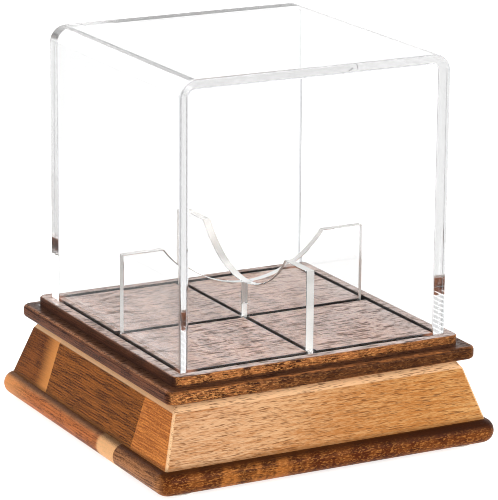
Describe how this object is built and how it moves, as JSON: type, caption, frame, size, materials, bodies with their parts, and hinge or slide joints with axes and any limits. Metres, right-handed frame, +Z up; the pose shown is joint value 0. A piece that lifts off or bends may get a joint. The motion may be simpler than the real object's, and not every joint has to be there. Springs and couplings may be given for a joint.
{
  "type": "acrylic display cube",
  "caption": "Clear cube-shaped cover that lifts off a flared wooden base, with a two-plate cradle that seats a ball inside.",
  "frame": {"origin": "middle of the surface that the foot pads stand on", "axes": "+Z up, +X to the right along the front, the front faces -Y"},
  "size_m": [0.1286, 0.1286, 0.1352],
  "materials": {
    "walnut_top": "satin",
    "walnut_body": "satin",
    "walnut_dark": "satin",
    "light_wood": "satin",
    "walnut_bottom": "satin",
    "walnut_bottom_front": "satin",
    "screw_steel": "satin",
    "pad_felt": "matte",
    "clear_acrylic": "gloss"
  },
  "bodies": {
    "base": {"top_board": "walnut_top", "body_back_strip": "walnut_body", "body_middle_strip": "walnut_dark", "body_front_strip": "light_wood", "bottom_board_rear_strip": "walnut_bottom", "bottom_board_front_strip": "walnut_bottom_front", "base_screw_1": "screw_steel", "base_screw_2": "screw_steel", "base_screw_3": "screw_steel", "base_screw_4": "screw_steel", "foot_pad_1": "pad_felt", "foot_pad_2": "pad_felt", "foot_pad_3": "pad_felt", "foot_pad_4": "pad_felt"},
    "cradle_lower": {"cradle_lower_plate": "clear_acrylic"},
    "cradle_upper": {"cradle_upper_plate": "clear_acrylic"},
    "cover": {"cover_wrap": "clear_acrylic", "cover_front_panel": "clear_acrylic", "cover_back_panel": "clear_acrylic"}
  },
  "joints": [
    {"name": "cover_lift", "type": "slide", "parent": "base", "child": "cover", "axis": [0, 0, 1], "range_m": [0, 0.11]},
    {"name": "cradle_lower_lift", "type": "slide", "parent": "base", "child": "cradle_lower", "axis": [0, 0, 1], "range_m": [0, 0.028]},
    {"name": "cradle_upper_lift", "type": "slide", "parent": "cradle_lower", "child": "cradle_upper", "axis": [0, 0, 1], "range_m": [0, 0.032]}
  ]
}
